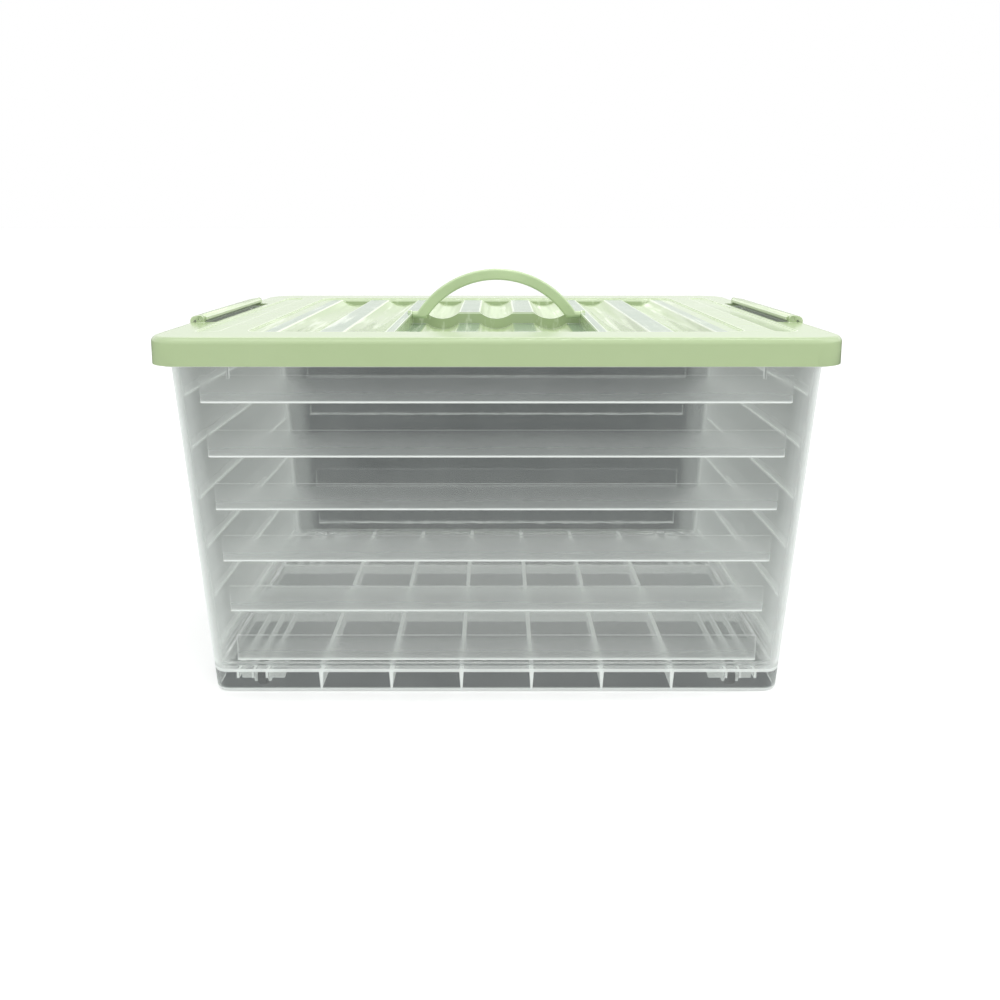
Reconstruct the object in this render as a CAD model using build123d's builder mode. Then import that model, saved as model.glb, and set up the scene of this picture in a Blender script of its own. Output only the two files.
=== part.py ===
from build123d import *
import math
import os

# Clip-lid storage box: a clear tub with stepped, frosted walls and a raised, ribbed floor, a green lid
# with a fluted top, a fold-down carrying handle, two end latches and four small wheels.
# Millimetres. X is the width, -Y the front, Z up. The origin is centred under the wheels.

# Driving dimensions
LID_WIDTH = 452.0
LID_DEPTH = 312.0
LID_TOP = 256.0
LID_CORNER_R = 22.0
LID_WALL = 2.2
RIM_HEIGHT = 18.5
RIM_EDGE_R = 4.0
RING_GAP = 3.2
RING_WALL = 1.6
RING_DROP = 5.5

TUB_TOP = 253.6
TUB_WIDTH = 434.2
TUB_DEPTH = 294.2
TUB_DRAFT_DEG = 3.8
TUB_CORNER_R = 16.0
TUB_FOOT_CORNER_R = 12.0
TUB_WALL = 2.0
SKIRT_FOOT = 1.4
FLOOR_TOP = 17.4
FLOOR_THICK = 2.2
FLOOR_COVE_R = 8.0

BAND_COUNT = 6
BAND_LOWEST = 25.7
BAND_PITCH = 37.25
BAND_HEIGHT = 18.1
BAND_END_GAP = 21.3
BAND_PROUD = 0.35

FLANGE_GAP = 1.2
FLANGE_THICK = 2.2
FLANGE_LIP_WALL = 1.8
FLANGE_LIP_LOW = 236.6
GUSSET_X = 174.0
GUSSET_WALL = 1.6
GUSSET_REACH = 2.4
GUSSET_LOW = 228.0
GUSSET_HIGH = 240.0

RIB_PITCH = 49.4
RIB_ROOT = 3.0
RIB_TIP = 1.2
RIB_LOW = 2.6
CROSS_RIB_Y = 45.0
CROSS_RIB_LOW = 8.0
CROSS_RIB_WALL = 1.8

WHEEL_X = 167.0
WHEEL_Y = 118.0
WHEEL_R = 6.6
WHEEL_WIDTH = 6.6
WHEEL_BORE_R = 1.56
WHEEL_EDGE_R = 0.9
WHEEL_RIM = 1.6
WHEEL_DISH = 0.6
WHEEL_HUB_R = 2.9
AXLE_R = 1.5
AXLE_HOLE_R = 1.52
AXLE_LENGTH = 12.4
BRACKET_GAP = 8.0
BRACKET_WALL = 1.8
BRACKET_LOW = 3.4
BRACKET_ROOT = 18.0
BRACKET_TIP = 8.0
SHORT_RIB_DEPTH = 5.5
OUTER_WEB = 10.6
OUTER_WEB_SLANT = 1.0
INNER_WEB = 14.0
INNER_WEB_SLANT = 3.2
WEB_OFFSET = 4.0
WEB_LOW = 6.4
WEB_WALL = 1.4

WELL_HALF_X = 168.0
WELL_HALF_Y = 126.0
WELL_DROP = 1.2
WELL_CORNER_R = 10.0
FLUTE_PITCH = 45.0
FLUTE_WIDTH = 28.5
FLUTE_DEPTH = 5.5
FLUTE_HALF_Y = 119.0
GROOVE_X = 195.0
GROOVE_WIDTH = 16.0
GROOVE_DEPTH = 0.8
GROOVE_CORNER_R = 7.0

RECESS_HALF_X = 69.4
RECESS_FRONT = 116.0
RECESS_BACK = 9.0
RECESS_FLOOR = 245.0
RECESS_FLUTE_DEPTH = 4.5

HANDLE_PIVOT = 253.6
HANDLE_TOP = 291.3
HANDLE_OUTER_R = 77.3
HANDLE_STRAP = 9.0
HANDLE_THICK = 6.0
HANDLE_EDGE_R = 1.6
HANDLE_PIN_R = 1.7
EAR_R = 3.6
EAR_WALL = 3.4
EAR_LOW = 250.0
PIN_CLEARANCE = 0.05

LATCH_HALF_Y = 70.0
LATCH_PIVOT_INSET = 9.0
LATCH_PIVOT_Z = 258.6
LATCH_BARREL_R = 2.6
LATCH_FLAP_REACH = 3.8
LATCH_WALL = 2.1
LATCH_LOW = 234.6
LATCH_PIN_R = 1.2
NOTCH_INSET = 19.0
LUG_LENGTH = 4.0
SIDE_GAP = 0.5

TAPER = math.tan(math.radians(TUB_DRAFT_DEG))
FLOOR_UNDER = FLOOR_TOP - FLOOR_THICK
FLANGE_WIDTH = LID_WIDTH - 2 * (LID_WALL + FLANGE_GAP)
FLANGE_DEPTH = LID_DEPTH - 2 * (LID_WALL + FLANGE_GAP)
FLANGE_CORNER_R = LID_CORNER_R - LID_WALL - FLANGE_GAP
RIM_LOW = LID_TOP - RIM_HEIGHT
WELL_FLOOR = LID_TOP - WELL_DROP
LATCH_PIVOT_X = LID_WIDTH / 2 - LATCH_PIVOT_INSET
FLUTE_R = ((FLUTE_WIDTH / 2) ** 2 + FLUTE_DEPTH**2) / (2 * FLUTE_DEPTH)
HANDLE_ARC_Z = HANDLE_TOP - HANDLE_OUTER_R
HANDLE_FOOT_X = math.sqrt(HANDLE_OUTER_R**2 - (HANDLE_PIVOT - HANDLE_ARC_Z) ** 2)


def tub_half_x(z):
    """Half the tub's outer width at a height."""
    return TUB_WIDTH / 2 - (TUB_TOP - z) * TAPER


def tub_half_y(z):
    """Half the tub's outer depth at a height."""
    return TUB_DEPTH / 2 - (TUB_TOP - z) * TAPER


def tub_section(z, inset):
    """The tub's rounded outline at a height, drawn in from its outer face."""
    share = (TUB_TOP - z) / (TUB_TOP - SKIRT_FOOT)
    corner = TUB_CORNER_R + (TUB_FOOT_CORNER_R - TUB_CORNER_R) * share
    with BuildSketch(Plane.XY.offset(z)) as outline:
        RectangleRounded(2 * (tub_half_x(z) - inset), 2 * (tub_half_y(z) - inset), corner - inset)
    return outline.sketch


def tapered_block(low, high, inset, mode=Mode.ADD):
    """A block that follows the tub's drafted walls."""
    loft([tub_section(low, inset), tub_section(high, inset)], ruled=True, mode=mode)


def upright_block(width, depth, corner, low, high, mode=Mode.ADD):
    """A straight-sided block with rounded corners, centred on Z."""
    with BuildSketch(Plane.XY.offset(low)) as outline:
        RectangleRounded(width, depth, corner)
    extrude(outline.sketch, amount=high - low, mode=mode)


def boxed(x_from, x_to, y_from, y_to, low, high, mode=Mode.ADD):
    """A plain box between two corners."""
    middle = ((x_from + x_to) / 2, (y_from + y_to) / 2, (low + high) / 2)
    with Locations(middle):
        Box(abs(x_to - x_from), abs(y_to - y_from), high - low, mode=mode)


def band_steps(inset):
    """Six upright panels on each wall, which step back to the drafted wall along their lower edge."""
    for level in range(BAND_COUNT):
        low = BAND_LOWEST + level * BAND_PITCH
        high = low + BAND_HEIGHT
        for half, length, wall_plane in (
            (tub_half_y, tub_half_x(low) - BAND_END_GAP, Plane.YZ),
            (tub_half_x, tub_half_y(low) - BAND_END_GAP, Plane.XZ),
        ):
            face = half(high) - inset
            foot = half(low) - inset
            for side in (-1, 1):
                with BuildSketch(wall_plane) as profile:
                    with BuildLine():
                        Polyline(
                            (side * (face - 1), high),
                            (side * (face + BAND_PROUD), high),
                            (side * (face + BAND_PROUD), low),
                            (side * (foot - 1), low),
                            close=True,
                        )
                    make_face()
                extrude(profile.sketch, amount=length, both=True)


def wheel_corners():
    """The four wheel places, each with its signs."""
    return [(sx, sy) for sx in (-1, 1) for sy in (-1, 1)]


# Tub: the space inside it
with BuildPart() as tub_inside:
    tapered_block(FLOOR_TOP, TUB_TOP + 1, TUB_WALL)
    fillet(tub_inside.faces().sort_by(Axis.Z)[0].edges(), radius=FLOOR_COVE_R)
    band_steps(TUB_WALL)

# Tub: walls, raised floor, flange with a turned-down lip, ribs and wheel brackets
with BuildPart() as tub:
    tapered_block(SKIRT_FOOT, TUB_TOP, 0)
    band_steps(0)
    upright_block(FLANGE_WIDTH, FLANGE_DEPTH, FLANGE_CORNER_R, FLANGE_LIP_LOW, TUB_TOP)
    fillet(tub.faces().filter_by(Axis.Z).sort_by(Axis.Z)[-1].edges(), radius=1.0)
    with BuildSketch(Plane.XY.offset(FLANGE_LIP_LOW)) as lip_gap:
        RectangleRounded(
            FLANGE_WIDTH - 2 * FLANGE_LIP_WALL,
            FLANGE_DEPTH - 2 * FLANGE_LIP_WALL,
            FLANGE_CORNER_R - FLANGE_LIP_WALL,
        )
        add(tub_section(FLANGE_LIP_LOW, 0).moved(Location((0, 0, -FLANGE_LIP_LOW))), mode=Mode.SUBTRACT)
    extrude(lip_gap.sketch, amount=TUB_TOP - FLANGE_THICK - FLANGE_LIP_LOW, mode=Mode.SUBTRACT)
    add(tub_inside.part, mode=Mode.SUBTRACT)
    tapered_block(SKIRT_FOOT - 1, FLOOR_UNDER, TUB_WALL, mode=Mode.SUBTRACT)

    # Gussets on the front and back walls, just under the flange
    for sx, sy in wheel_corners():
        wall = tub_half_y(GUSSET_LOW)
        boxed(
            sx * (GUSSET_X - GUSSET_WALL / 2),
            sx * (GUSSET_X + GUSSET_WALL / 2),
            sy * (wall - 1),
            sy * (wall + GUSSET_REACH),
            GUSSET_LOW,
            GUSSET_HIGH,
        )

    # Tapered ribs from front to back under the floor
    for step in (-2.5, -1.5, -0.5, 0.5, 1.5, 2.5):
        with BuildSketch(Plane.XZ) as rib:
            with BuildLine():
                Polyline(
                    (step * RIB_PITCH - RIB_ROOT / 2, FLOOR_UNDER + 0.5),
                    (step * RIB_PITCH + RIB_ROOT / 2, FLOOR_UNDER + 0.5),
                    (step * RIB_PITCH + RIB_TIP / 2, RIB_LOW),
                    (step * RIB_PITCH - RIB_TIP / 2, RIB_LOW),
                    close=True,
                )
            make_face()
        extrude(rib.sketch, amount=tub_half_y(RIB_LOW) - 1, both=True)

    # Cross ribs
    for y in (-CROSS_RIB_Y, 0, CROSS_RIB_Y):
        half = tub_half_x(CROSS_RIB_LOW) - 1
        boxed(-half, half, y - CROSS_RIB_WALL / 2, y + CROSS_RIB_WALL / 2, CROSS_RIB_LOW, FLOOR_UNDER + 0.5)

    # Wheel brackets: three short ribs, two axle plates and their side webs, at each corner
    for sx, sy in wheel_corners():
        skirt = tub_half_y(FLOOR_UNDER) - 1.5
        inner_plate = WHEEL_X - BRACKET_GAP / 2 - BRACKET_WALL / 2
        outer_plate = WHEEL_X + BRACKET_GAP / 2 + BRACKET_WALL / 2
        for x in (inner_plate, outer_plate, outer_plate + OUTER_WEB):
            boxed(
                sx * (x - BRACKET_WALL / 2),
                sx * (x + BRACKET_WALL / 2),
                sy * CROSS_RIB_Y,
                sy * skirt,
                FLOOR_UNDER - SHORT_RIB_DEPTH,
                FLOOR_UNDER + 0.5,
            )
        for x in (inner_plate, outer_plate):
            with BuildSketch(Plane.YZ.offset(sx * x - BRACKET_WALL / 2)) as plate:
                with BuildLine():
                    Polyline(
                        (sy * WHEEL_Y - BRACKET_ROOT / 2, FLOOR_UNDER + 0.5),
                        (sy * WHEEL_Y + BRACKET_ROOT / 2, FLOOR_UNDER + 0.5),
                        (sy * WHEEL_Y + BRACKET_TIP / 2, BRACKET_LOW),
                        (sy * WHEEL_Y - BRACKET_TIP / 2, BRACKET_LOW),
                        close=True,
                    )
                make_face()
            extrude(plate.sketch, amount=BRACKET_WALL)
        for root, side, reach, slant in (
            (outer_plate, 1, OUTER_WEB, OUTER_WEB_SLANT),
            (inner_plate, -1, INNER_WEB, INNER_WEB_SLANT),
        ):
            tip = root + side * reach
            with BuildSketch(Plane.XZ.offset(-sy * (WHEEL_Y + WEB_OFFSET))) as web:
                with BuildLine():
                    Polyline(
                        (sx * root, FLOOR_UNDER + 0.5),
                        (sx * tip, FLOOR_UNDER + 0.5),
                        (sx * (tip - side * slant), WEB_LOW),
                        (sx * root, WEB_LOW),
                        close=True,
                    )
                make_face()
            extrude(web.sketch, amount=WEB_WALL / 2, both=True)
        with Locations(Location((sx * WHEEL_X, sy * WHEEL_Y, WHEEL_R), (0, 90, 0))):
            Cylinder(AXLE_HOLE_R, AXLE_LENGTH + 0.2, mode=Mode.SUBTRACT)
tub.part.label = "tub"
export_step(tub.part, "parts/tub.step")


# Wheels and their axle pins
for sx, sy in wheel_corners():
    place = ("left" if sx < 0 else "right") + ("_front" if sy < 0 else "_rear")
    centre_plane = Plane(origin=(sx * WHEEL_X, sy * WHEEL_Y, WHEEL_R), x_dir=(0, 1, 0), z_dir=(1, 0, 0))
    with BuildPart(centre_plane) as wheel:
        Cylinder(WHEEL_R, WHEEL_WIDTH)
        fillet(wheel.edges().filter_by(GeomType.CIRCLE), radius=WHEEL_EDGE_R)
        for end in (-1, 1):
            with Locations((0, 0, end * WHEEL_WIDTH / 2)):
                Cylinder(WHEEL_R - WHEEL_RIM, 2 * WHEEL_DISH, mode=Mode.SUBTRACT)
        Cylinder(WHEEL_HUB_R, WHEEL_WIDTH - 0.2)
        Cylinder(WHEEL_BORE_R, WHEEL_WIDTH + 1, mode=Mode.SUBTRACT)
    wheel.part.label = "wheel_" + place
    export_step(wheel.part, "parts/wheel_" + place + ".step")

    with BuildPart(centre_plane) as axle:
        Cylinder(AXLE_R, AXLE_LENGTH)
        chamfer(axle.edges().filter_by(GeomType.CIRCLE), length=0.3)
    axle.part.label = "axle_" + place
    export_step(axle.part, "parts/axle_" + place + ".step")


def flute_rods(radius, per_side, low, front, back):
    """Round bars side by side from front to back: the hollows of the fluted lid."""
    axis_z = low + FLUTE_R
    for step in range(-per_side, per_side + 1):
        with Locations(Location((step * FLUTE_PITCH, (front + back) / 2, axis_z), (90, 0, 0))):
            Cylinder(radius, back - front)


# Lid: the sunk shapes in its upper face, and the same shapes one wall thicker for its underside
with BuildPart() as sunk:
    flute_rods(FLUTE_R, 3, WELL_FLOOR - FLUTE_DEPTH, -FLUTE_HALF_Y, FLUTE_HALF_Y)
    flute_rods(FLUTE_R, 1, RECESS_FLOOR - RECESS_FLUTE_DEPTH, -RECESS_FRONT, RECESS_BACK)
    upright_block(2 * WELL_HALF_X, 2 * WELL_HALF_Y, WELL_CORNER_R, WELL_FLOOR, LID_TOP + 1)
    boxed(-RECESS_HALF_X, RECESS_HALF_X, -RECESS_FRONT, RECESS_BACK, RECESS_FLOOR, LID_TOP + 1)
    for side in (-1, 1):
        with BuildSketch(Plane.XY.offset(LID_TOP - GROOVE_DEPTH)) as groove:
            with Locations((side * GROOVE_X, 0)):
                RectangleRounded(GROOVE_WIDTH, 2 * WELL_HALF_Y, GROOVE_CORNER_R)
        extrude(groove.sketch, amount=2)

with BuildPart() as sunk_skin:
    flute_rods(
        FLUTE_R + LID_WALL, 3, WELL_FLOOR - FLUTE_DEPTH, -FLUTE_HALF_Y - LID_WALL, FLUTE_HALF_Y + LID_WALL
    )
    flute_rods(
        FLUTE_R + LID_WALL,
        1,
        RECESS_FLOOR - RECESS_FLUTE_DEPTH,
        -RECESS_FRONT - LID_WALL,
        RECESS_BACK + LID_WALL,
    )
    upright_block(
        2 * (WELL_HALF_X + LID_WALL),
        2 * (WELL_HALF_Y + LID_WALL),
        WELL_CORNER_R + LID_WALL,
        WELL_FLOOR - LID_WALL,
        LID_TOP,
    )
    boxed(
        -RECESS_HALF_X - LID_WALL,
        RECESS_HALF_X + LID_WALL,
        -RECESS_FRONT - LID_WALL,
        RECESS_BACK + LID_WALL,
        RECESS_FLOOR - LID_WALL,
        LID_TOP,
    )

with BuildPart() as lid_hollow:
    upright_block(
        LID_WIDTH - 2 * LID_WALL,
        LID_DEPTH - 2 * LID_WALL,
        LID_CORNER_R - LID_WALL,
        RIM_LOW - 1,
        LID_TOP - LID_WALL,
    )
    add(sunk_skin.part, mode=Mode.SUBTRACT)

# Lid: rimmed shell with the fluted well, the handle recess, latch notches and pin lugs
with BuildPart() as lid:
    upright_block(LID_WIDTH, LID_DEPTH, LID_CORNER_R, RIM_LOW, LID_TOP)
    fillet(lid.faces().sort_by(Axis.Z)[-1].edges(), radius=RIM_EDGE_R)
    add(sunk.part, mode=Mode.SUBTRACT)
    add(lid_hollow.part, mode=Mode.SUBTRACT)

    # Locating ring that drops just inside the tub's mouth
    with BuildSketch(Plane.XY.offset(LID_TOP - LID_WALL)) as ring:
        for inset, mode in ((RING_GAP, Mode.ADD), (RING_GAP + RING_WALL, Mode.SUBTRACT)):
            RectangleRounded(TUB_WIDTH - 2 * inset, TUB_DEPTH - 2 * inset, TUB_CORNER_R - inset, mode=mode)
    extrude(ring.sketch, amount=-RING_DROP)

    # Ears at the ends of the recess, and the handle's pin holes through them
    for side in (-1, 1):
        with BuildSketch(Plane.YZ.offset(side * (RECESS_HALF_X + EAR_WALL / 2))) as ear:
            with Locations((0, HANDLE_PIVOT)):
                Circle(EAR_R)
            with Locations((0, (HANDLE_PIVOT + EAR_LOW) / 2)):
                Rectangle(2 * EAR_R, HANDLE_PIVOT - EAR_LOW)
        extrude(ear.sketch, amount=EAR_WALL / 2, both=True)
    with Locations(Location((0, 0, HANDLE_PIVOT), (0, 90, 0))):
        Cylinder(HANDLE_PIN_R + PIN_CLEARANCE, 2 * (RECESS_HALF_X + EAR_WALL + 1), mode=Mode.SUBTRACT)

    # Latch notches through the end rims, each with a lug at either end
    for side in (-1, 1):
        notch_y = LATCH_HALF_Y + SIDE_GAP
        boxed(
            side * (LID_WIDTH / 2 - NOTCH_INSET),
            side * (LID_WIDTH / 2 + 1),
            -notch_y,
            notch_y,
            RIM_LOW - 1,
            LID_TOP + 1,
            Mode.SUBTRACT,
        )
        for end in (-1, 1):
            with BuildSketch(Plane.XZ.offset(-end * (notch_y + LUG_LENGTH / 2))) as lug:
                with Locations((side * LATCH_PIVOT_X, LATCH_PIVOT_Z)):
                    Circle(LATCH_BARREL_R)
                with Locations((side * LATCH_PIVOT_X, LATCH_PIVOT_Z - 1.8)):
                    Rectangle(2 * LATCH_BARREL_R, 3.6)
                with Locations((side * LATCH_PIVOT_X, LATCH_PIVOT_Z)):
                    Circle(LATCH_PIN_R + PIN_CLEARANCE, mode=Mode.SUBTRACT)
            extrude(lug.sketch, amount=LUG_LENGTH / 2, both=True)
lid.part.label = "lid"
export_step(lid.part, "parts/lid.step")


# Handle: a bowed strap with a hub and an outward pin at each foot
with BuildPart() as handle:
    with BuildSketch(Plane.XZ) as bow:
        with Locations((0, HANDLE_ARC_Z)):
            Circle(HANDLE_OUTER_R)
            Circle(HANDLE_OUTER_R - HANDLE_STRAP, mode=Mode.SUBTRACT)
        with Locations((0, HANDLE_PIVOT - HANDLE_OUTER_R)):
            Rectangle(3 * HANDLE_OUTER_R, 2 * HANDLE_OUTER_R, mode=Mode.SUBTRACT)
    extrude(bow.sketch, amount=HANDLE_THICK / 2, both=True)
    fillet(handle.edges().filter_by(GeomType.CIRCLE), radius=HANDLE_EDGE_R)
    hub_in = HANDLE_FOOT_X - HANDLE_STRAP
    hub_out = RECESS_HALF_X - SIDE_GAP
    pin_out = RECESS_HALF_X + EAR_WALL - SIDE_GAP
    for side in (-1, 1):
        with Locations(Location((side * (hub_in + hub_out) / 2, 0, HANDLE_PIVOT), (0, 90, 0))):
            Cylinder(HANDLE_THICK / 2, hub_out - hub_in)
        with Locations(Location((side * (hub_in + pin_out) / 2, 0, HANDLE_PIVOT), (0, 90, 0))):
            Cylinder(HANDLE_PIN_R, pin_out - hub_in)
handle.part.label = "handle"
export_step(handle.part, "parts/handle.step")


# Latches: a barrel with end pins and a plate that hangs in the lid's notch, beaded along its foot
for name, side in (("latch_left", -1), ("latch_right", 1)):
    outer = LID_WIDTH / 2
    with BuildPart() as latch:
        with BuildSketch(Plane.XZ) as hook:
            with BuildLine():
                Polyline(
                    (side * (LATCH_PIVOT_X - LATCH_FLAP_REACH), LATCH_PIVOT_Z + 1.0),
                    (side * LATCH_PIVOT_X, LATCH_PIVOT_Z + LATCH_BARREL_R),
                    (side * (outer - 2.6), LATCH_PIVOT_Z + 1.6),
                    (side * (outer - 0.8), LATCH_PIVOT_Z + 0.4),
                    (side * outer, LATCH_PIVOT_Z - 1.6),
                    (side * outer, LATCH_LOW),
                    (side * (outer - LATCH_WALL - 1.0), LATCH_LOW),
                    (side * (outer - LATCH_WALL - 1.0), LATCH_LOW + 1.4),
                    (side * (outer - LATCH_WALL), LATCH_LOW + 2.6),
                    (side * (outer - LATCH_WALL), LATCH_PIVOT_Z - 3.4),
                    (side * (outer - LATCH_WALL - 1.4), LATCH_PIVOT_Z - 1.4),
                    (side * (LATCH_PIVOT_X - LATCH_FLAP_REACH), LATCH_PIVOT_Z - 1.2),
                    close=True,
                )
            make_face()
            with Locations((side * LATCH_PIVOT_X, LATCH_PIVOT_Z)):
                Circle(LATCH_BARREL_R)
        extrude(hook.sketch, amount=LATCH_HALF_Y, both=True)
        with Locations(Location((side * LATCH_PIVOT_X, 0, LATCH_PIVOT_Z), (90, 0, 0))):
            Cylinder(LATCH_PIN_R, 2 * (LATCH_HALF_Y + SIDE_GAP + LUG_LENGTH) - 1.0)
    latch.part.label = name
    export_step(latch.part, "parts/" + name + ".step")
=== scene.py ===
"""Clip-lid storage box: looks, stage and camera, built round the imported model."""

import math

import bmesh
import bpy
from bpy.props import FloatProperty, FloatVectorProperty, PointerProperty
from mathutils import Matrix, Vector


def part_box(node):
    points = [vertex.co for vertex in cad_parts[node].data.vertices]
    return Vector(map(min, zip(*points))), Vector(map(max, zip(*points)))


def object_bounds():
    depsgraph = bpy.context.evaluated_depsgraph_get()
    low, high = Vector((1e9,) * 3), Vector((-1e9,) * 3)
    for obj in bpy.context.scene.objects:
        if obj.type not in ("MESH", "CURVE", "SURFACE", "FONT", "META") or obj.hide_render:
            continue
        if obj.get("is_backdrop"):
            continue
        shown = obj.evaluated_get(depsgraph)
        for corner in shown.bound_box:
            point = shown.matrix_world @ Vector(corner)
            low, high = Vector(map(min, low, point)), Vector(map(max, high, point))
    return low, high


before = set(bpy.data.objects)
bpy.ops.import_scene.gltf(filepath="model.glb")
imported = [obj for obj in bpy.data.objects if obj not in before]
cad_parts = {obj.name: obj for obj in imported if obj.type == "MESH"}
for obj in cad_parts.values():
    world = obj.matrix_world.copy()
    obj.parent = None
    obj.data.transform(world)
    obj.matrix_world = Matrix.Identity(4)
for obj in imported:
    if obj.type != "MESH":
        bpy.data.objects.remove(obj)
CAD_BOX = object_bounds()

bl_info = {
    "name": "Clip-Lid Storage Box",
    "version": (1, 0, 0),
    "blender": (4, 5, 0),
    "location": "View3D > Sidebar > Storage Box",
    "description": "Finishes a packed clip-lid storage box and sets up its studio",
    "category": "Object",
}

LID_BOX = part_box("lid")
TUB_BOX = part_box("tub")
WHEELS = [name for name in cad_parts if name.startswith("wheel_")]
AXLES = [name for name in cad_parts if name.startswith("axle_")]
LATCHES = ("latch_left", "latch_right")

# Places on the box, in metres
LID_HALF = Vector(LID_BOX[1])
LID_TOP = 0.256
TUB_TOP = TUB_BOX[1].z
TUB_OVERHANG = 0.0089
TUB_HALF_TOP = Vector((LID_HALF.x - TUB_OVERHANG, LID_HALF.y - TUB_OVERHANG))
WALL_SLOPE = math.tan(math.radians(3.8))
WALL = 0.002
BAND_LOWEST = 0.0257
BAND_PITCH = 0.03725
BAND_HEIGHT = 0.0181
BAND_COUNT = 6
BAND_END_GAP = 0.0213
FLOOR_TOP = 0.0174
FLOOR_UNDER = 0.0152
RIB_PITCH = 0.0494
RIB_SPREAD = 0.13
CROSS_RIB_PITCH = 0.045
BRACKET_SPAN = (0.146, 0.186)
WELL_FLOOR = 0.2548
WELL_HALF = Vector((0.168, 0.126))
WELL_CORNER = 0.010
GROOVE_X = 0.195
GROOVE_HALF_WIDTH = 0.008
GROOVE_CORNER = 0.007
FLUTE_COUNT = 7
FLUTE_PITCH = 0.045
FLUTE_HALF_WIDTH = 0.01425
FLUTE_HALF_LENGTH = 0.119
SLOT_X = 0.206
SLOT_HALF_LENGTH = 0.070
RECESS_HALF_X = 0.0694
RECESS_FRONT = -0.116
RECESS_BACK = 0.009
RECESS_FLOOR = 0.245
OUTLINE = 0.0010
LEVEL_SLACK = 0.0004
CORNER_START = 0.022
CORNER_FULL = 0.008
FLANGE_DEPTH = 0.004
FLOOR_HALF_SIZE = 60


# ---------------------------------------------------------------- shader maths


class Signal:
    """A shader socket that does maths: each operator adds the Math node that it needs."""

    def __init__(self, finish, socket):
        self.finish = finish
        self.socket = socket

    def maths(self, operation, *values, clamp=False):
        settings = {"operation": operation, "use_clamp": clamp}
        return self.finish.node("ShaderNodeMath", settings, dict(enumerate(values)))

    def __add__(self, other):
        return self.maths("ADD", self, other)

    __radd__ = __add__

    def __sub__(self, other):
        return self.maths("SUBTRACT", self, other)

    def __rsub__(self, other):
        return self.maths("SUBTRACT", other, self)

    def __mul__(self, other):
        return self.maths("MULTIPLY", self, other)

    __rmul__ = __mul__

    def __truediv__(self, other):
        return self.maths("DIVIDE", self, other)

    def __rtruediv__(self, other):
        return self.maths("DIVIDE", other, self)

    def __pow__(self, other):
        return self.maths("POWER", self, other)

    def __abs__(self):
        return self.maths("ABSOLUTE", self)

    def fraction(self):
        return self.maths("FRACT", self)

    def over(self, other):
        return self.maths("GREATER_THAN", self, other)

    def under(self, other):
        return self.maths("LESS_THAN", self, other)

    def most(self, other):
        return self.maths("MAXIMUM", self, other)

    def least(self, other):
        return self.maths("MINIMUM", self, other)

    def ramp(self, start, end):
        """0 at start and 1 at end, easing between; start may be the larger."""
        share = self.maths("DIVIDE", self - start, end - start, clamp=True)
        return share * share * (3 - 2 * share)


class Finish:
    """A material under construction."""

    def __init__(self, name):
        self.material = bpy.data.materials.new(name)
        self.material.use_nodes = True
        self.tree = self.material.node_tree
        self.tree.nodes.clear()
        self.point = None
        self.place = None

    def node(self, kind, settings=None, values=None, output=0):
        """A node of any kind: its settings first, then the values or links of its sockets."""
        made = self.tree.nodes.new(kind)
        for key, value in (settings or {}).items():
            if key == "stops":
                set_stops(made.color_ramp, value)
            else:
                setattr(made, key, value)
        for key, value in (values or {}).items():
            socket = made.inputs[key]
            if isinstance(value, Signal):
                self.tree.links.new(value.socket, socket)
            else:
                socket.default_value = value
        return Signal(self, made.outputs[output])

    def object_place(self):
        """The point's x, y and z in the object's own coordinates."""
        if self.place is None:
            self.point = self.node("ShaderNodeTexCoord", output="Object")
            split = self.node("ShaderNodeSeparateXYZ", values={0: self.point})
            self.place = tuple(Signal(self, out) for out in split.socket.node.outputs)
        return self.place

    def noise(self, scale, detail=2.0, roughness=0.5, stretch=(1, 1, 1)):
        """Even cloudy noise from 0 to 1, scale in lumps per metre."""
        self.object_place()
        mapped = self.node("ShaderNodeMapping", values={"Vector": self.point, "Scale": stretch})
        values = {"Vector": mapped, "Scale": scale, "Detail": detail, "Roughness": roughness}
        return self.node("ShaderNodeTexNoise", values=values)

    def blend(self, share, first, second):
        """A colour between two colours."""
        values = {"Factor": share, 6: first, 7: second}
        return self.node("ShaderNodeMix", {"data_type": "RGBA"}, values, output=2)

    def bump(self, height, strength, distance):
        values = {"Height": height, "Strength": strength, "Distance": distance}
        return self.node("ShaderNodeBump", values=values)

    def plastic(self, **values):
        """A Principled surface; keys are its socket names with underscores for spaces."""
        named = {key.replace("_", " "): value for key, value in values.items()}
        return self.node("ShaderNodeBsdfPrincipled", values=named)

    def mix(self, share, first, second):
        return self.node("ShaderNodeMixShader", values={0: share, 1: first, 2: second})

    def done(self, surface):
        output = self.tree.nodes.new("ShaderNodeOutputMaterial")
        self.tree.links.new(surface.socket, output.inputs["Surface"])
        return self.material


def set_stops(ramp, stops):
    """Gives a colour ramp its positions and colours."""
    while len(ramp.elements) < len(stops):
        ramp.elements.new(0.5)
    for element, (position, colour) in zip(ramp.elements, stops):
        element.position = position
        element.color = colour


def linear(colour, alpha=1.0):
    """Screen colour, 0 to 255 a channel, as the shader's linear values."""
    shares = [c / 255 for c in colour]
    return (*((s / 12.92 if s <= 0.04045 else ((s + 0.055) / 1.055) ** 2.4) for s in shares), alpha)


# ---------------------------------------------------------------- materials


def wall_halves(finish):
    """Half the tub's outer width and depth at the point's height."""
    drop = (TUB_TOP - finish.object_place()[2]) * WALL_SLOPE
    return TUB_HALF_TOP.x - drop, TUB_HALF_TOP.y - drop


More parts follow.
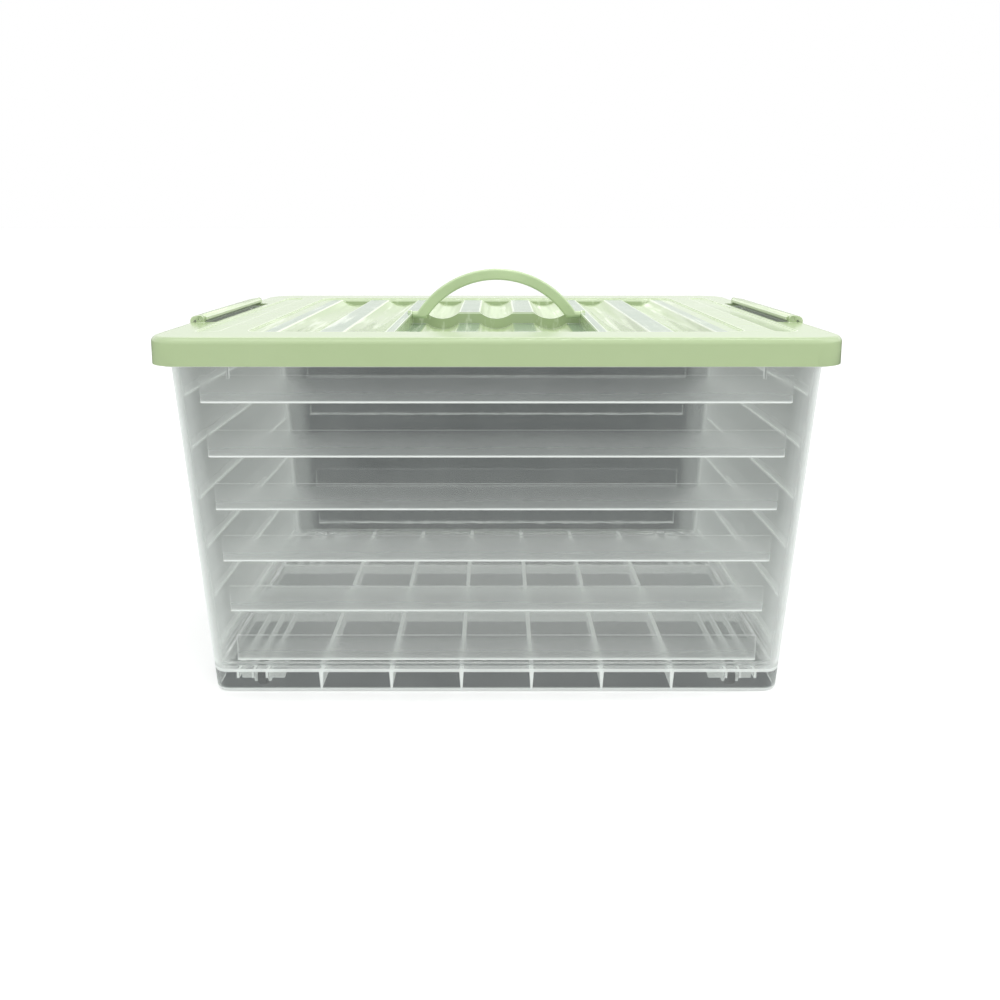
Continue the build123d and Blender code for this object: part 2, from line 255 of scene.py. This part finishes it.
def on_panel(finish):
    """1 within the length of the frosted panels, on any of the four walls."""
    x, y = finish.object_place()[:2]
    half_x, half_y = wall_halves(finish)
    front = abs(x).under(half_x - BAND_END_GAP) * abs(y).over(half_y - 3 * WALL)
    side = abs(y).under(half_y - BAND_END_GAP) * abs(x).over(half_x - 3 * WALL)
    return front.most(side)


def panel_frost(finish):
    """1 along the foot of each frosted panel, fading towards its upper edge."""
    z = finish.object_place()[2]
    level = (z - BAND_LOWEST) / BAND_PITCH
    rise = level.fraction() * BAND_PITCH
    within = level.over(0) * level.under(BAND_COUNT)
    fade = rise.ramp(BAND_HEIGHT, 0.001) * 0.65 + 0.35
    return within * fade * rise.ramp(BAND_HEIGHT + 0.0004, BAND_HEIGHT - 0.004) * on_panel(finish)


def panel_ledge_highlight(finish):
    """1 on the thin ledge under each panel, painted bright as a highlight."""
    z = finish.object_place()[2]
    level = (z - BAND_LOWEST) / BAND_PITCH + 0.5
    away = abs(level.fraction() - 0.5) * BAND_PITCH
    within = level.over(0) * level.under(BAND_COUNT)
    return within * away.ramp(0.0011, 0.0005) * on_panel(finish)


def under_floor_ribs(finish):
    """1 on the ribs, cross ribs and wheel brackets under the raised floor, and where they show through it."""
    x, y, z = finish.object_place()
    half_x, half_y = wall_halves(finish)
    below = z.ramp(FLOOR_TOP + 0.0006, FLOOR_TOP + 0.0002)
    rib_half = z * 0.06 + 0.0005
    rib = abs((x / RIB_PITCH).fraction() - 0.5) * RIB_PITCH - rib_half
    rib = rib.ramp(0.0003, -0.0001) * abs(x).under(RIB_SPREAD)
    crossing = abs((y / CROSS_RIB_PITCH + 0.5).fraction() - 0.5) * CROSS_RIB_PITCH
    inside = abs(x).under(half_x - 2 * WALL)
    cross = crossing.ramp(0.0013, 0.0009) * abs(y).under(1.2 * CROSS_RIB_PITCH) * inside
    bracket = abs(x).over(BRACKET_SPAN[0]) * abs(x).under(BRACKET_SPAN[1]) * abs(y).under(half_y - 2 * WALL)
    bracket = bracket * z.ramp(FLOOR_UNDER, FLOOR_UNDER - 0.0008)
    return below * rib.most(cross).most(bracket)


def skirt_edge(finish):
    """1 on the lowest edge of the skirt and along the line where the floor meets the walls."""
    x, y, z = finish.object_place()
    half_x, half_y = wall_halves(finish)
    edge = abs(x).over(half_x - 2 * WALL).most(abs(y).over(half_y - 2 * WALL))
    seam = abs(z - FLOOR_TOP + 0.001).ramp(0.0016, 0.0009)
    foot = z.ramp(0.0028, 0.0020)
    return edge * seam.most(foot)


def corner_painted_highlight(finish):
    """1 on the four rounded upright corners, which are painted milkier and lighter as a highlight."""
    x, y, z = finish.object_place()
    half_x, half_y = wall_halves(finish)
    across = abs(x).ramp(half_x - CORNER_START, half_x - CORNER_FULL)
    return across * abs(y).ramp(half_y - CORNER_START, half_y - CORNER_FULL) * z.over(FLOOR_TOP)


def latch_slot_shade(finish):
    """1 on the flange where the latches hook under it, painted clearer and darker as the shadow in the gap
    beside each latch.
    """
    x, y, z = finish.object_place()
    return abs(x).over(SLOT_X) * abs(y).under(SLOT_HALF_LENGTH) * z.over(TUB_TOP - FLANGE_DEPTH)


def clear_polypropylene(settings):
    """Clear, faintly smoky wall with frosted panels and milky ribs; the milky parts glow with painted light,
    the ledges get a painted highlight, grazing walls and corners a painted sheen, and the back wall and latch
    slots painted shade.
    """
    finish = Finish("clear_tub")
    y, z = finish.object_place()[1:]
    # Painted shade: the frosted panels and ledges are weakened towards the back wall, so it reads darker.
    rear_shade = y.ramp(0.02, 0.12)
    frost = panel_frost(finish) * (1 - rear_shade * 0.75)
    # Painted highlight: the ledges under the panels are made milky and bright.
    ledge = panel_ledge_highlight(finish) * (1 - rear_shade * 0.55)
    ribs = under_floor_ribs(finish)
    edge = skirt_edge(finish)
    grain = finish.noise(2600, detail=1)
    cloud = finish.noise(34, detail=3, stretch=(1, 1, 0.35))
    flow = finish.noise(16, detail=4, roughness=0.6, stretch=(1, 1, 2.2))
    # Painted shade: the flange in the latch slots is tinted darker and loses its milk, as the shadow beside
    # each latch.
    slot = latch_slot_shade(finish)
    tint = finish.blend(cloud, linear(settings.tub_clear), linear(settings.tub_cloud))
    tint = finish.blend(slot, tint, linear(settings.tub_slot_shade))
    ripple = finish.bump(flow, 0.12, 0.0008)
    clear = finish.plastic(
        Base_Color=tint,
        Roughness=cloud * 0.05 + frost * 0.26 + 0.02,
        IOR=1.49,
        Transmission_Weight=1.0,
        Normal=ripple,
    )
    # Painted glow: the milky plastic emits light, standing in for light scattered inside it.
    glow_colour = finish.blend(grain, linear(settings.tub_frost), linear(settings.tub_frost_light))
    milk = finish.plastic(
        Base_Color=finish.blend(grain, linear(settings.tub_milk), linear(settings.tub_frost)),
        Roughness=grain * 0.15 + 0.35,
        IOR=1.49,
        Transmission_Weight=0.2,
        Emission_Color=glow_colour,
        Emission_Strength=settings.milk_painted_glow,
        Normal=finish.bump(grain, 0.2, 0.0002),
    )
    # Painted sheen: walls seen along their face turn milkier and so glow brighter.
    facing = finish.node("ShaderNodeLayerWeight", values={"Blend": 0.5}, output="Facing")
    floor = z.ramp(FLOOR_TOP + 0.006, FLOOR_TOP)
    along = facing.ramp(0.2, 0.9) * settings.grazing_sheen * (1 - floor * 0.6)
    haze = z.ramp(0.15, 0.08) * 0.03 + z.ramp(FLOOR_TOP, FLOOR_UNDER) * 0.03
    veil = along + haze + cloud * 0.05 + flow * 0.04 + corner_painted_highlight(finish) * 0.25
    share = frost * (0.85 + grain * 0.15) * settings.frost_amount
    share = share.most(ledge * 0.75).most(ribs * 0.65).most(edge * 0.7)
    # Painted shade: the latch slots lose their milk too, so they read clearer and darker.
    share = (share + (1 - share) * veil) * (1 - slot * 0.75)
    return finish.done(finish.mix(share, clear, milk))


def from_flute(finish):
    """Distance from the middle line of the nearest flute."""
    x = finish.object_place()[0]
    return abs((x / FLUTE_PITCH + 0.5).fraction() - 0.5) * FLUTE_PITCH


def on_ridge(finish):
    """1 on the flat ridges between the flutes, in the well and on the floor of the handle's recess."""
    x, y, z = finish.object_place()
    ridge = from_flute(finish).ramp(FLUTE_HALF_WIDTH - 0.0010, FLUTE_HALF_WIDTH + 0.0004)
    within = abs(x).under(FLUTE_COUNT / 2 * FLUTE_PITCH) * abs(y).under(FLUTE_HALF_LENGTH)
    level = abs(z - WELL_FLOOR).under(LEVEL_SLACK).most(abs(z - RECESS_FLOOR).under(LEVEL_SLACK))
    return ridge * within * level


def outline(u, v, half_u, half_v, corner):
    """1 on a thin line along a rounded rectangle that is centred where u and v are 0."""
    out_u = abs(u) - (half_u - corner)
    out_v = abs(v) - (half_v - corner)
    outside = (out_u.most(0) ** 2 + out_v.most(0) ** 2) ** 0.5
    distance = outside + out_u.most(out_v).least(0) - corner
    return abs(distance).ramp(OUTLINE, OUTLINE * 0.4)


def painted_edge_highlights(finish):
    """1 along the edges of the well, the flutes, the recess and the side grooves, where a painted highlight
    goes.
    """
    x, y, z = finish.object_place()
    well = outline(x, y, WELL_HALF.x, WELL_HALF.y, WELL_CORNER)
    groove = outline(abs(x) - GROOVE_X, y, GROOVE_HALF_WIDTH, WELL_HALF.y, GROOVE_CORNER)
    middle = (RECESS_FRONT + RECESS_BACK) / 2
    recess = outline(x, y - middle, RECESS_HALF_X, RECESS_BACK - middle, OUTLINE)
    flute = from_flute(finish) - FLUTE_HALF_WIDTH
    flutes = abs(flute.most(abs(y) - FLUTE_HALF_LENGTH)).ramp(OUTLINE, OUTLINE * 0.4)
    flutes = flutes * abs(x).under(FLUTE_COUNT / 2 * FLUTE_PITCH)
    at_top = z.over(WELL_FLOOR - 0.0016)
    behind_recess = y.over(RECESS_BACK + 0.0001) * y.ramp(RECESS_BACK + 0.0020, RECESS_BACK + 0.0012)
    scallops = behind_recess * abs(x).under(RECESS_HALF_X) * z.over(RECESS_FLOOR + 0.001)
    return (at_top * well.most(recess).most(groove).most(flutes)).most(scallops)


def green_moulding(settings, name, colour, shade):
    """Glossy light green moulding, a little cloudy, with fine orange peel."""
    finish = Finish(name)
    cloud = finish.noise(22, detail=4)
    colouring = finish.blend(cloud, linear(colour), linear(shade))
    return finish.done(green_surface(finish, settings, colouring))


def green_surface(finish, settings, colouring):
    """The surface that the green mouldings share, whatever their colouring; it glows a little with painted
    light, standing in for light carried inside the plastic.
    """
    cloud = finish.noise(15, detail=3)
    flow = finish.noise(9, detail=5, roughness=0.62, stretch=(1, 3.5, 1))
    peel = finish.bump(finish.noise(380, detail=2), 0.05, 0.0002)
    return finish.plastic(
        Base_Color=colouring,
        Roughness=cloud * 0.08 + flow * 0.14 + 0.10,
        IOR=1.5,
        Coat_Weight=0.25,
        Coat_Roughness=0.1,
        Emission_Color=colouring,
        Emission_Strength=settings.lid_painted_glow,
        Normal=peel,
    )


def fluted_lid(settings):
    """The lid's green, with greyer ridges, painted reflection streaks over the flutes and painted highlights
    along the moulded edges.
    """
    finish = Finish("green_lid")
    x, y = finish.object_place()[:2]
    cloud = finish.noise(22, detail=4)
    streak = finish.noise(150, detail=3, roughness=0.6, stretch=(1, 0.05, 0.4))
    patch = finish.noise(26, detail=2, stretch=(1, 0.6, 1))
    in_well = abs(x).under(WELL_HALF.x) * abs(y).under(WELL_HALF.y)
    colouring = finish.blend(cloud, linear(settings.lid_colour), linear(settings.lid_shade))
    ridge = on_ridge(finish) * (0.6 + patch * 0.5)
    colouring = finish.blend(ridge, colouring, linear(settings.ridge_colour))
    # Painted reflection: pale streaks over the flutes in the well.
    bright = in_well * streak.ramp(0.52, 0.72) * patch.ramp(0.35, 0.6) * 0.45
    colouring = finish.blend(bright, colouring, linear(settings.edge_highlight_colour))
    # Painted highlight: pale lines along the moulded edges.
    colouring = finish.blend(painted_edge_highlights(finish) * 0.5, colouring, linear(settings.edge_highlight_colour))
    return finish.done(green_surface(finish, settings, colouring))


def edge_highlight_finish(settings):
    """The thin rounded edges of the mouldings, painted paler as a highlight; made once and shared."""
    if "edge_highlight_finish" in bpy.data.materials:
        return bpy.data.materials["edge_highlight_finish"]
    finish = Finish("edge_highlight_finish")
    cloud = finish.noise(60, detail=3)
    colouring = finish.blend(cloud, linear(settings.edge_highlight_colour), linear(settings.lid_colour))
    surface = finish.plastic(
        Base_Color=colouring, Roughness=cloud * 0.1 + 0.12, Coat_Weight=0.4, Coat_Roughness=0.06
    )
    return finish.done(surface)


def wheel_plastic():
    """Dull dark moulded plastic."""
    finish = Finish("dark_wheel")
    grain = finish.noise(900, detail=3)
    colouring = finish.blend(grain, linear((38, 41, 44)), linear((70, 74, 78)))
    relief = finish.bump(grain, 0.2, 0.0001)
    return finish.done(finish.plastic(Base_Color=colouring, Roughness=grain * 0.2 + 0.4, Normal=relief))


def pin_steel():
    """Drawn steel wire."""
    finish = Finish("axle_steel")
    scratch = finish.noise(700, detail=3, stretch=(0.1, 1, 1))
    colouring = finish.blend(scratch, linear((150, 152, 155)), linear((190, 192, 195)))
    relief = finish.bump(scratch, 0.1, 0.0001)
    gloss = scratch * 0.2 + 0.25
    return finish.done(finish.plastic(Base_Color=colouring, Metallic=1.0, Roughness=gloss, Normal=relief))


def soften(piece, radius, segments=2):
    """Rounds the sharp edges of a carried-over piece and gives the rounding its own material slot."""
    weld = piece.modifiers.new("weld", "WELD")
    weld.merge_threshold = 0.00001
    flat = piece.modifiers.new("flat faces", "DECIMATE")
    flat.decimate_type = "DISSOLVE"
    flat.angle_limit = math.radians(0.4)
    bevel = piece.modifiers.new("edges", "BEVEL")
    bevel.width = radius
    bevel.segments = segments
    bevel.limit_method = "ANGLE"
    bevel.angle_limit = math.radians(38)
    bevel.harden_normals = True
    bevel.material = 1


def repaint(node_name, *materials):
    """Gives a carried-over piece its finishes: the faces' one, then the edges' one."""
    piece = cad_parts[node_name]
    piece.data.materials.clear()
    for material in materials:
        piece.data.materials.append(material)
    return piece


# ---------------------------------------------------------------- settings


def tone(name, description, colour):
    """A colour setting, 0 to 255 a channel."""
    return FloatVectorProperty(name=name, description=description, size=3, default=colour, min=0, max=255)


class BoxSettings(bpy.types.PropertyGroup):
    """Colours and finish of the box."""

    tub_clear: tone("Clear wall", "Colour of the clear wall", (238, 238, 237))
    tub_cloud: tone("Wall cloud", "Colour of the clear wall's clouds", (222, 223, 223))
    # Painted shade: the flange colour in the latch slots, darkened as the shadow beside each latch.
    tub_slot_shade: tone("Latch slot", "Colour of the flange in the latch slots", (132, 138, 134))
    tub_milk: tone("Milk", "Body colour of the milky plastic", (154, 159, 156))
    tub_frost: tone("Frosted panel", "Colour of the frosted panels", (206, 211, 208))
    tub_frost_light: tone("Frost grain", "Colour of the frost's light grain", (228, 232, 229))
    lid_colour: tone("Lid", "Main colour of the lid", (160, 176, 138))
    lid_shade: tone("Lid cloud", "Darker cloud in the lid", (154, 173, 130))
    ridge_colour: tone("Ridges", "Colour of the flat ridges between the flutes", (126, 146, 126))
    handle_colour: tone("Handle", "Colour of the handle", (192, 211, 170))
    latch_colour: tone("Latch", "Colour of the latches", (190, 206, 168))
    # Painted highlight: pale colour for the mouldings' edges, outlines and the flutes' reflection streaks.
    edge_highlight_colour: tone("Edges", "Pale colour of the mouldings' edges", (240, 248, 228))
    frost_amount: FloatProperty(
        name="Frost",
        description="How dense the frosted panels are",
        default=0.09,
        min=0,
        max=1,
        subtype="FACTOR",
    )
    # Painted sheen: how much glowing milk a wall seen along its face takes on.
    grazing_sheen: FloatProperty(
        name="Milkiness",
        description="How milky a wall seen along its face is",
        default=0.85,
        min=0,
        max=1,
        subtype="FACTOR",
    )
    # Painted glow: emission of the milky plastic, standing in for light scattered inside it.
    milk_painted_glow: FloatProperty(
        name="Scatter",
        description="Light that the milky plastic carries inside it",
        default=0.52,
        min=0,
        max=1,
    )
    # Painted glow: emission of the green plastic, standing in for light carried inside it.
    lid_painted_glow: FloatProperty(
        name="Lid scatter",
        description="Light that the green plastic carries inside it",
        default=0.1,
        min=0,
        max=1,
    )
    edge_radius: FloatProperty(
        name="Edge radius",
        description="Rounding of the mouldings' edges",
        default=0.0005,
        unit="LENGTH",
    )


class StageSettings(bpy.types.PropertyGroup):
    """Camera and light."""

    pitch: FloatProperty(
        name="Pitch", description="How far the camera looks down", default=math.radians(8), subtype="ANGLE"
    )
    focal: FloatProperty(
        name="Focal length", description="Lens, in millimetres", default=29.09, min=10, max=200
    )
    stand_off: FloatProperty(
        name="Stand-off", description="From the lid's front edge to the camera", default=0.5056, unit="LENGTH"
    )
    rise: FloatProperty(
        name="Rise", description="From the lid's top up to the camera", default=0.0707, unit="LENGTH"
    )


# ---------------------------------------------------------------- pieces


class BOX_OT_tub(bpy.types.Operator):
    """Finish the clear tub."""

    bl_idname = "storage_box.tub"
    bl_label = "Tub"

    def execute(self, context):
        repaint("tub", clear_polypropylene(context.scene.box_settings))
        return {"FINISHED"}


class BOX_OT_lid(bpy.types.Operator):
    """Finish the fluted lid and round its edges."""

    bl_idname = "storage_box.lid"
    bl_label = "Lid"

    def execute(self, context):
        settings = context.scene.box_settings
        soften(repaint("lid", fluted_lid(settings), edge_highlight_finish(settings)), settings.edge_radius)
        return {"FINISHED"}


class BOX_OT_handle(bpy.types.Operator):
    """Finish the carrying handle and round its edges."""

    bl_idname = "storage_box.handle"
    bl_label = "Handle"

    def execute(self, context):
        settings = context.scene.box_settings
        green = green_moulding(settings, "green_handle", settings.handle_colour, settings.lid_shade)
        soften(repaint("handle", green, edge_highlight_finish(settings)), settings.edge_radius)
        return {"FINISHED"}


class BOX_OT_latches(bpy.types.Operator):
    """Finish the two end latches and round their edges."""

    bl_idname = "storage_box.latches"
    bl_label = "Latches"

    def execute(self, context):
        settings = context.scene.box_settings
        green = green_moulding(settings, "green_latch", settings.latch_colour, settings.lid_colour)
        for name in LATCHES:
            soften(repaint(name, green, edge_highlight_finish(settings)), settings.edge_radius)
        return {"FINISHED"}


class BOX_OT_wheels(bpy.types.Operator):
    """Finish the wheels and their pins."""

    bl_idname = "storage_box.wheels"
    bl_label = "Wheels"

    def execute(self, context):
        dark = wheel_plastic()
        steel = pin_steel()
        for name in WHEELS:
            repaint(name, dark)
        for name in AXLES:
            repaint(name, steel)
        return {"FINISHED"}


def area_light(name, place, target, size, power):
    """A rectangular lamp that shines from its place towards the target."""
    lamp = bpy.data.lights.new(name, "AREA")
    lamp.shape = "RECTANGLE"
    lamp.size, lamp.size_y = size
    lamp.energy = power
    holder = bpy.data.objects.new(name, lamp)
    holder.location = place
    holder.rotation_euler = (Vector(target) - Vector(place)).to_track_quat("-Z", "Y").to_euler()
    bpy.context.scene.collection.objects.link(holder)
    return holder


def studio_world():
    """White behind the box for the camera; for all else bright above and dim below the horizon."""
    world = bpy.data.worlds.new("studio")
    world.use_nodes = True
    tree = world.node_tree
    tree.nodes.clear()
    direction = tree.nodes.new("ShaderNodeTexCoord")
    split = tree.nodes.new("ShaderNodeSeparateXYZ")
    ramp = tree.nodes.new("ShaderNodeValToRGB")
    set_stops(
        ramp.color_ramp,
        [
            (0.0, (0.060, 0.067, 0.069, 1)),
            (0.49, (0.088, 0.098, 0.101, 1)),
            (0.53, (1.0, 1.0, 1.0, 1)),
            (0.75, (1.12, 1.12, 1.12, 1)),
            (1.0, (1.12, 1.12, 1.12, 1)),
        ],
    )
    height = tree.nodes.new("ShaderNodeMapRange")
    height.inputs["From Min"].default_value = -1.0
    seen = tree.nodes.new("ShaderNodeBackground")
    lit = tree.nodes.new("ShaderNodeBackground")
    path = tree.nodes.new("ShaderNodeLightPath")
    choice = tree.nodes.new("ShaderNodeMixShader")
    out = tree.nodes.new("ShaderNodeOutputWorld")
    link = tree.links.new
    link(direction.outputs["Generated"], split.inputs[0])
    link(split.outputs["Z"], height.inputs["Value"])
    link(height.outputs["Result"], ramp.inputs["Fac"])
    link(ramp.outputs["Color"], lit.inputs["Color"])
    link(path.outputs["Is Camera Ray"], choice.inputs[0])
    link(lit.outputs[0], choice.inputs[1])
    link(seen.outputs[0], choice.inputs[2])
    link(choice.outputs[0], out.inputs["Surface"])
    seen.inputs["Color"].default_value = (1, 1, 1, 1)
    bpy.context.scene.world = world


def pale_floor():
    """A plain matt floor, left out of what the clear walls show behind them."""
    mesh = bpy.data.meshes.new("floor")
    shape = bmesh.new()
    bmesh.ops.create_grid(shape, x_segments=1, y_segments=1, size=FLOOR_HALF_SIZE)
    shape.to_mesh(mesh)
    shape.free()
    floor = bpy.data.objects.new("floor", mesh)
    bpy.context.scene.collection.objects.link(floor)
    finish = Finish("floor")
    colour = finish.blend(finish.noise(3, detail=2), (0.93, 0.93, 0.93, 1), (0.96, 0.96, 0.96, 1))
    paper = finish.plastic(Base_Color=colour, Roughness=0.9, Specular_IOR_Level=0.1)
    mesh.materials.append(finish.done(paper))
    floor.visible_transmission = False
    floor.visible_glossy = False
    floor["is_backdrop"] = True


class BOX_OT_stage(bpy.types.Operator):
    """Floor, light and camera."""

    bl_idname = "storage_box.stage"
    bl_label = "Stage"

    def execute(self, context):
        settings = context.scene.stage_settings
        pale_floor()
        studio_world()
        area_light("key", (-0.5, -0.9, 1.7), (0, 0, 0.1), (1.6, 1.2), 7)
        area_light("fill", (1.4, -0.4, 1.2), (0, 0, 0.1), (1.2, 1.2), 5)
        area_light("back", (0.0, 1.5, 1.4), (0, 0, 0.15), (2.0, 0.8), 5)
        area_light("strip", (0.35, -0.2, 1.3), (0.35, -0.15, 0.25), (0.9, 0.06), 3)
        lens = bpy.data.cameras.new("camera")
        lens.lens = settings.focal
        lens.sensor_width = 36
        lens.shift_x = 0.0035
        lens.shift_y = -0.1615
        lens.clip_start = 0.01
        lens.clip_end = 200
        camera = bpy.data.objects.new("camera", lens)
        camera.location = (0, LID_BOX[0].y - settings.stand_off, LID_TOP + settings.rise)
        camera.rotation_euler = (math.radians(90) - settings.pitch, 0, 0)
        context.scene.collection.objects.link(camera)
        context.scene.camera = camera
        context.scene.view_settings.view_transform = "Standard"
        context.scene.cycles.max_bounces = 32
        context.scene.cycles.transmission_bounces = 32
        context.scene.cycles.transparent_max_bounces = 32
        return {"FINISHED"}


class BOX_PT_panel(bpy.types.Panel):
    """The box's pieces, in the 3D view's sidebar."""

    bl_label = "Storage Box"
    bl_space_type = "VIEW_3D"
    bl_region_type = "UI"
    bl_category = "Storage Box"

    def draw(self, context):
        for operator in OPERATORS:
            self.layout.operator(operator.bl_idname)


OPERATORS = (BOX_OT_tub, BOX_OT_lid, BOX_OT_handle, BOX_OT_latches, BOX_OT_wheels, BOX_OT_stage)
CLASSES = (BoxSettings, StageSettings, *OPERATORS, BOX_PT_panel)


def register():
    for cls in CLASSES:
        bpy.utils.register_class(cls)
    bpy.types.Scene.box_settings = PointerProperty(type=BoxSettings)
    bpy.types.Scene.stage_settings = PointerProperty(type=StageSettings)


def unregister():
    del bpy.types.Scene.stage_settings
    del bpy.types.Scene.box_settings
    for cls in reversed(CLASSES):
        bpy.utils.unregister_class(cls)


def main():
    register()
    bpy.ops.storage_box.stage()
    bpy.ops.storage_box.tub()
    bpy.ops.storage_box.lid()
    bpy.ops.storage_box.handle()
    bpy.ops.storage_box.latches()
    bpy.ops.storage_box.wheels()
    boxes = {"cad": CAD_BOX, "visual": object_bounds()}
    boxes = {name: [list(corner) for corner in corners] for name, corners in boxes.items()}


if __name__ == "__main__":
    main()
